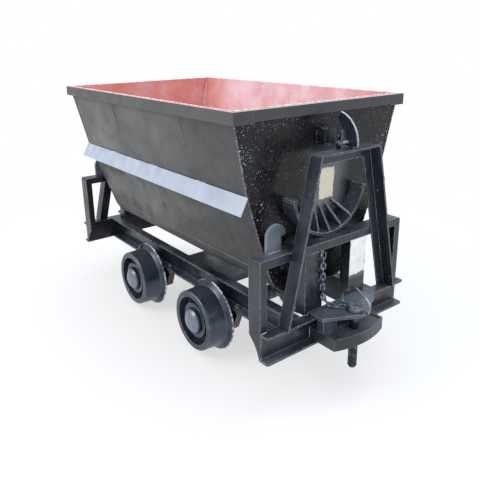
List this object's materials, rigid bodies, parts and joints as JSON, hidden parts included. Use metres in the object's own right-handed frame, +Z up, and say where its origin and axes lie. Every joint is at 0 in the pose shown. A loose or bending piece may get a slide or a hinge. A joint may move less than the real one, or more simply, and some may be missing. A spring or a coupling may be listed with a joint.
{
  "type": "side-tipping mine car",
  "caption": "Narrow-gauge side-tipping ore car: a sheet-steel hopper that rocks on two portals of a channel frame with two axles.",
  "frame": {"origin": "middle of the car in plan, level with the bottoms of the wheel flanges", "axes": "+X along the track to the front end, +Y to the left side, +Z up"},
  "size_m": [2.062, 0.952, 1.2079],
  "materials": {
    "frame_paint": "worn black gloss over steel",
    "hopper_paint": "dusty black gloss outside, red oxide inside",
    "strip_paint": "pale blue-grey gloss",
    "wheel_iron": "machined and cast, dull",
    "cast_steel": "rough cast, worn paint",
    "bare_steel": "turned, dull"
  },
  "bodies": {
    "frame": {"sole_bar_left": "frame_paint", "sole_bar_right": "frame_paint", "end_beam_front": "frame_paint", "end_beam_rear": "frame_paint", "belly_plate": "frame_paint", "portal_front": "frame_paint", "portal_rear": "frame_paint", "inner_post_front_left": "frame_paint", "inner_post_front_right": "frame_paint", "inner_post_rear_left": "frame_paint", "inner_post_rear_right": "frame_paint", "stay_frame_front": "frame_paint", "stay_frame_rear": "frame_paint", "latch_front": "frame_paint", "latch_rear": "frame_paint", "hook_front_left": "frame_paint", "hook_front_right": "frame_paint", "hook_rear_left": "frame_paint", "hook_rear_right": "frame_paint", "axle_box_front_left": "cast_steel", "axle_box_front_right": "cast_steel", "axle_box_rear_left": "cast_steel", "axle_box_rear_right": "cast_steel", "coupler_jaw_front": "cast_steel", "coupler_jaw_rear": "cast_steel", "coupler_tongue_front": "frame_paint", "coupler_tongue_rear": "frame_paint", "coupling_pin_front": "bare_steel", "coupling_pin_rear": "bare_steel", "pin_bail_front": "bare_steel", "pin_bail_rear": "bare_steel", "pin_chain_front": "bare_steel", "pin_chain_rear": "bare_steel"},
    "wheelset_front": {"axle_front": "bare_steel", "wheel_front_left": "wheel_iron", "wheel_front_right": "wheel_iron"},
    "wheelset_rear": {"axle_rear": "bare_steel", "wheel_rear_left": "wheel_iron", "wheel_rear_right": "wheel_iron"},
    "hopper": {"hopper_side_left": "hopper_paint", "hopper_side_right": "hopper_paint", "hopper_floor": "hopper_paint", "hopper_end_front": "hopper_paint", "hopper_end_rear": "hopper_paint", "hopper_rim": "hopper_paint", "side_strip_left": "strip_paint", "side_strip_right": "strip_paint", "rocker_front": "hopper_paint", "rocker_rear": "hopper_paint", "latch_catch_front": "hopper_paint", "latch_catch_rear": "hopper_paint"}
  },
  "joints": [
    {"name": "wheelset_front_spin", "type": "hinge", "parent": "frame", "child": "wheelset_front", "pos_m": [0.305, 0, 0.175], "axis": [0, 1, 0], "continuous": true},
    {"name": "wheelset_rear_spin", "type": "hinge", "parent": "frame", "child": "wheelset_rear", "pos_m": [-0.305, 0, 0.175], "axis": [0, 1, 0], "continuous": true},
    {"name": "hopper_tip", "type": "hinge", "parent": "frame", "child": "hopper", "pos_m": [0, 0, 0.872], "axis": [1, 0, 0], "range_deg": [-40, 40]}
  ]
}
